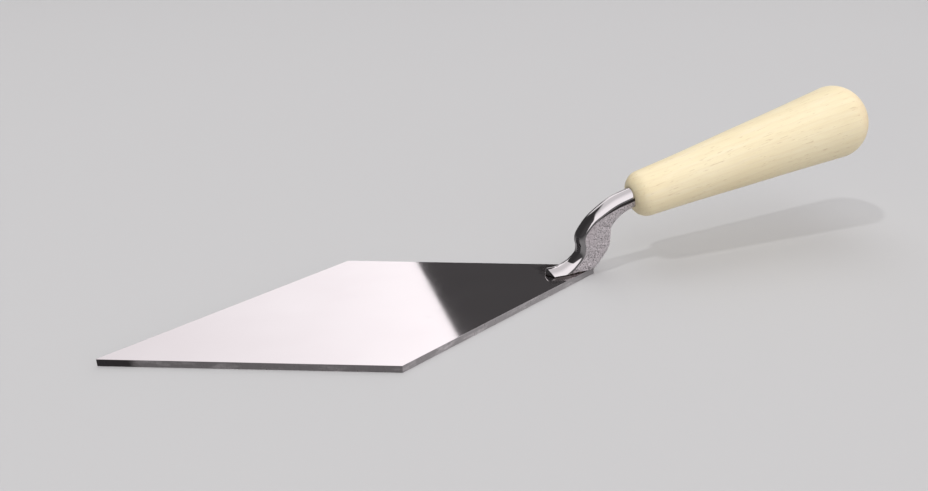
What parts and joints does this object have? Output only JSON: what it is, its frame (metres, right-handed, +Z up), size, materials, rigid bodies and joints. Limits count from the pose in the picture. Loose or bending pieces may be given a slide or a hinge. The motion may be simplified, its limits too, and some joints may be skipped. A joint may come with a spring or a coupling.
{
  "type": "brick trowel",
  "caption": "Hand trowel for laying mortar: a flat diamond-shaped steel blade, a forged gooseneck shank on its heel, and a turned wooden handle.",
  "frame": {"origin": "middle of the blade's flat underside: half way along the blade, on its centre line", "axes": "+X from the blade's tip towards the handle's butt, +Z up and square to the blade, Y across the blade"},
  "size_m": [0.4204, 0.1146, 0.0891],
  "materials": {
    "blade_steel": "polished to a mirror",
    "shank_steel": "bright, with slightly uneven forged sides",
    "braze": "dull brazing brass",
    "handle_wood": "smooth sanded pale hardwood",
    "resin": "set amber resin"
  },
  "bodies": {
    "root": {"blade": "blade_steel", "shank": "shank_steel", "braze_layer": "braze", "handle": "handle_wood", "tang_adhesive": "resin"}
  },
  "joints": []
}
